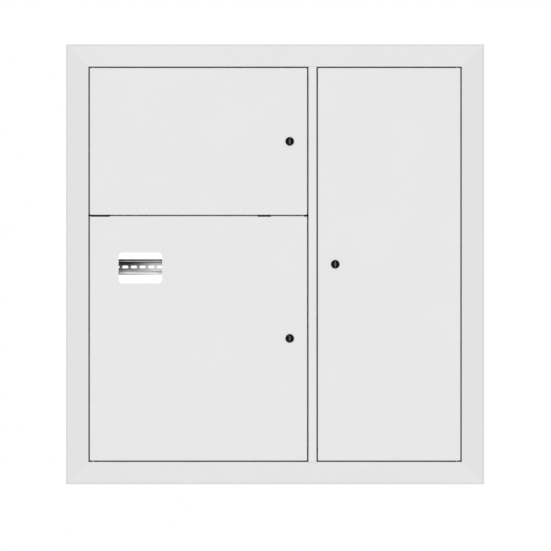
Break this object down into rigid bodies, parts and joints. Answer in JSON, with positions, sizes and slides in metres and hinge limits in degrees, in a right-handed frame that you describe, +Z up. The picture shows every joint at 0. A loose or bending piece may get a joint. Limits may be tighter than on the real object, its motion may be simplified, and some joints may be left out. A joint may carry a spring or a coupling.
{
  "type": "floor distribution board",
  "caption": "Flush wall-mounted sheet-steel distribution board with a bevelled frame, hinged lockable doors, a meter window, top-hat rails and terminal bars.",
  "frame": {"origin": "middle of the four wall fixing holes, on the back face of the back panel", "axes": "-Y towards the front, where the doors are, +Z up, +X to the right as seen from the front"},
  "size_m": [0.95, 0.152, 1],
  "materials": {
    "painted_sheet": "light grey powder coat",
    "zinc_steel": "zinc plated",
    "dark_steel": "blackened",
    "black_plastic": "black moulded",
    "lock_zinc": "cast zinc",
    "black_rubber": "matt",
    "brass_bar": "bright",
    "blue_plastic": "moulded",
    "green_plastic": "moulded"
  },
  "bodies": {
    "enclosure": {"frame_left": "painted_sheet", "frame_right": "painted_sheet", "frame_top": "painted_sheet", "frame_bottom": "painted_sheet", "frame_mullion": "painted_sheet", "middle_stop_rail": "painted_sheet", "left_side_panel": "painted_sheet", "right_side_panel": "painted_sheet", "top_panel": "painted_sheet", "bottom_panel": "painted_sheet", "back_panel": "painted_sheet", "compartment_partition": "painted_sheet", "section_shelf": "painted_sheet", "plastron": "painted_sheet", "top_hinge_pins": "zinc_steel", "bottom_hinge_pins": "zinc_steel", "middle_hinge_pin": "zinc_steel", "frame_screws": "zinc_steel", "frame_nuts": "zinc_steel", "meter_rail": "zinc_steel", "module_rail": "zinc_steel", "rail_brackets": "zinc_steel", "rail_screws": "zinc_steel", "plastron_posts": "zinc_steel", "plastron_screws": "zinc_steel", "terminal_screws": "zinc_steel", "bar_screws": "zinc_steel", "comms_plate": "zinc_steel", "comms_plate_posts": "zinc_steel", "comms_plate_screws": "zinc_steel", "earth_stud": "zinc_steel", "earth_stud_nut": "zinc_steel", "middle_hinge_lug": "dark_steel", "door_bumpers": "black_rubber", "partition_grommet": "black_rubber", "neutral_bar": "brass_bar", "earth_bar": "brass_bar", "neutral_bar_supports": "blue_plastic", "earth_bar_supports": "green_plastic"},
    "consumer_door": {"consumer_door": "painted_sheet", "consumer_lock_housing": "black_plastic", "consumer_lock_nut": "black_plastic"},
    "consumer_lock": {"consumer_lock_rotor": "lock_zinc", "consumer_lock_cam": "zinc_steel", "consumer_lock_bolt": "zinc_steel"},
    "meter_door": {"meter_door": "painted_sheet", "meter_lock_housing": "black_plastic", "meter_lock_nut": "black_plastic"},
    "meter_lock": {"meter_lock_rotor": "lock_zinc", "meter_lock_cam": "zinc_steel", "meter_lock_bolt": "zinc_steel"},
    "comms_door": {"comms_door": "painted_sheet", "comms_lock_housing": "black_plastic", "comms_lock_nut": "black_plastic"},
    "comms_lock": {"comms_lock_rotor": "lock_zinc", "comms_lock_cam": "zinc_steel", "comms_lock_bolt": "zinc_steel"}
  },
  "joints": [
    {"name": "consumer_door_hinge", "type": "hinge", "parent": "enclosure", "child": "consumer_door", "pos_m": [-0.413, -0.1445, 0.27913], "axis": [0, 0, -1], "range_deg": [0, 115]},
    {"name": "consumer_lock_turn", "type": "hinge", "parent": "consumer_door", "child": "consumer_lock", "pos_m": [0.0333, -0.15, 0.27913], "axis": [0, -1, 0], "range_deg": [0, 90]},
    {"name": "meter_door_hinge", "type": "hinge", "parent": "enclosure", "child": "meter_door", "pos_m": [-0.413, -0.1445, -0.16837], "axis": [0, 0, -1], "range_deg": [0, 115]},
    {"name": "meter_lock_turn", "type": "hinge", "parent": "meter_door", "child": "meter_lock", "pos_m": [0.0333, -0.15, -0.16837], "axis": [0, -1, 0], "range_deg": [0, 90]},
    {"name": "comms_door_hinge", "type": "hinge", "parent": "enclosure", "child": "comms_door", "pos_m": [0.413, -0.1445, 0], "axis": [0, 0, 1], "range_deg": [0, 115]},
    {"name": "comms_lock_turn", "type": "hinge", "parent": "comms_door", "child": "comms_lock", "pos_m": [0.1367, -0.15, 0], "axis": [0, 1, 0], "range_deg": [0, 90]}
  ]
}
